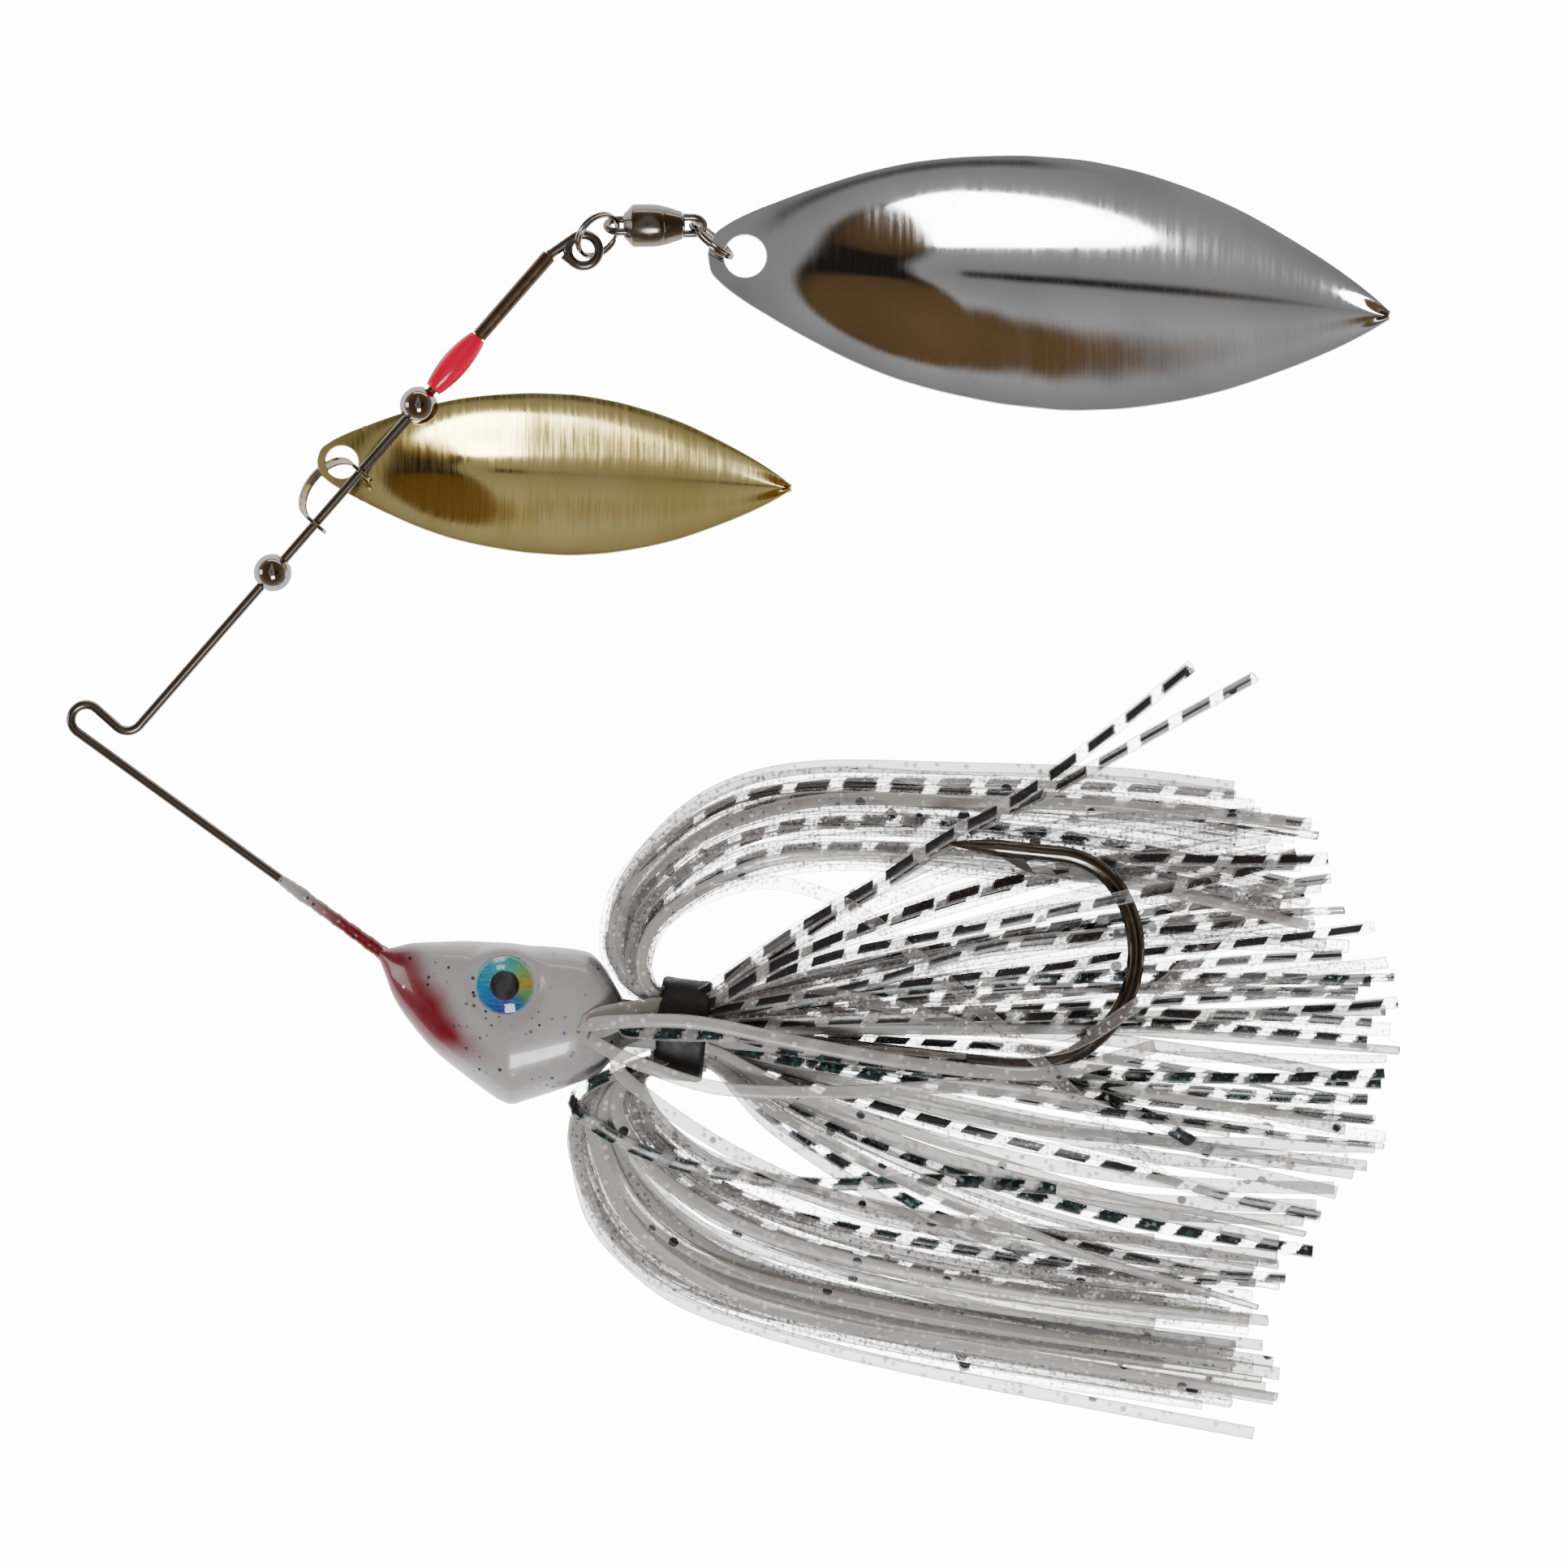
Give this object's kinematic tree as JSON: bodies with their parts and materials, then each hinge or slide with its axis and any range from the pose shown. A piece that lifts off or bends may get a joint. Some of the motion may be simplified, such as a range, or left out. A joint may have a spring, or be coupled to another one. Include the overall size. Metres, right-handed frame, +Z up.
{
  "type": "spinnerbait",
  "caption": "Spinnerbait lure lying on its side: bent wire arm with two willow-leaf blades, clevis, beads, ball-bearing swivel, painted lead head, hook and silicone skirt.",
  "frame": {"origin": "centre of the bounding box, on the surface the lure lies on", "axes": "+X from the line tie to the skirt tips, +Y towards the large blade, +Z up from the surface, square to the plane of the wire form"},
  "size_m": [0.1392, 0.1295, 0.0125],
  "materials": {
    "wire_steel": "dark drawn spring steel, satin",
    "head_paint": "pearl white powder paint with silver glitter and a crimson throat, gloss",
    "eye_foil": "holographic foil with a black pupil, gloss",
    "eye_resin": "clear domed resin, gloss",
    "hook_steel": "dark nickel, polished",
    "collar_rubber": "black rubber, satin",
    "skirt_silicone": "clear and pearl silicone strips with glitter and printed black bars, gloss",
    "bead_chrome": "polished",
    "attractor_plastic": "fluorescent pink, translucent",
    "sleeve_steel": "dark brown steel, satin",
    "clevis_nickel": "polished nickel",
    "gold_plate": "polished gold plate with fine cross brushing",
    "ring_steel": "polished",
    "swivel_nickel": "dark nickel, polished",
    "ball_steel": "polished",
    "nickel_plate": "mirror black-nickel plate"
  },
  "bodies": {
    "root": {"wire_form": "wire_steel", "head": "head_paint", "upper_eye_foil": "eye_foil", "upper_eye_dome": "eye_resin", "lower_eye_foil": "eye_foil", "lower_eye_dome": "eye_resin", "hook": "hook_steel", "skirt_collar": "collar_rubber", "skirt_tail": "skirt_silicone", "skirt_upper_fold": "skirt_silicone", "skirt_lower_fold": "skirt_silicone", "spacer_sleeve": "sleeve_steel"},
    "lower_bead": {"lower_bead": "bead_chrome"},
    "attractor": {"attractor_bead": "attractor_plastic"},
    "upper_bead": {"upper_bead": "bead_chrome"},
    "clevis": {"clevis": "clevis_nickel"},
    "gold_blade": {"gold_blade": "gold_plate"},
    "front_ring": {"front_split_ring": "ring_steel"},
    "swivel": {"swivel_barrel": "swivel_nickel", "swivel_end_cap": "swivel_nickel", "swivel_front_eye": "swivel_nickel", "swivel_balls": "ball_steel"},
    "swivel_eye": {"swivel_rear_eye": "swivel_nickel"},
    "rear_ring": {"rear_split_ring": "ring_steel"},
    "nickel_blade": {"nickel_blade": "nickel_plate"}
  },
  "joints": [
    {"name": "lower_bead_slide", "type": "slide", "parent": "root", "child": "lower_bead", "axis": [0.6574, 0.7536, 0], "range_m": [-0.0185, 0.0042]},
    {"name": "attractor_slide", "type": "slide", "parent": "root", "child": "attractor", "axis": [0.6574, 0.7536, 0], "range_m": [-0.003, 0]},
    {"name": "upper_bead_slide", "type": "slide", "parent": "attractor", "child": "upper_bead", "axis": [0.6574, 0.7536, 0], "range_m": [-0.003, 0]},
    {"name": "clevis_spin", "type": "hinge", "parent": "root", "child": "clevis", "pos_m": [-0.0484, 0.0216, 0.0062], "axis": [-0.6574, -0.7536, 0], "continuous": true},
    {"name": "gold_blade_swing", "type": "hinge", "parent": "clevis", "child": "gold_blade", "pos_m": [-0.0432, 0.0326, 0.0032], "axis": [0, 0, 1], "range_deg": [-10, 26]},
    {"name": "front_ring_swing", "type": "hinge", "parent": "root", "child": "front_ring", "pos_m": [-0.0165, 0.0547, 0.0062], "axis": [0, 0, 1], "range_deg": [-10, 60]},
    {"name": "swivel_swing", "type": "hinge", "parent": "front_ring", "child": "swivel", "pos_m": [-0.01298, 0.05735, 0.0053], "axis": [0, -1, 0], "range_deg": [0, 30]},
    {"name": "swivel_spin", "type": "hinge", "parent": "swivel", "child": "swivel_eye", "pos_m": [-0.006, 0.05735, 0.0053], "axis": [1, 0, 0], "continuous": true},
    {"name": "rear_ring_swing", "type": "hinge", "parent": "swivel_eye", "child": "rear_ring", "pos_m": [-0.00525, 0.0572, 0.0053], "axis": [0, 0, 1], "range_deg": [-15, 30]},
    {"name": "nickel_blade_swing", "type": "hinge", "parent": "rear_ring", "child": "nickel_blade", "pos_m": [-0.0011, 0.05475, 0.0035], "axis": [-0.6601, -0.7511, 0], "range_deg": [0, 35]}
  ]
}
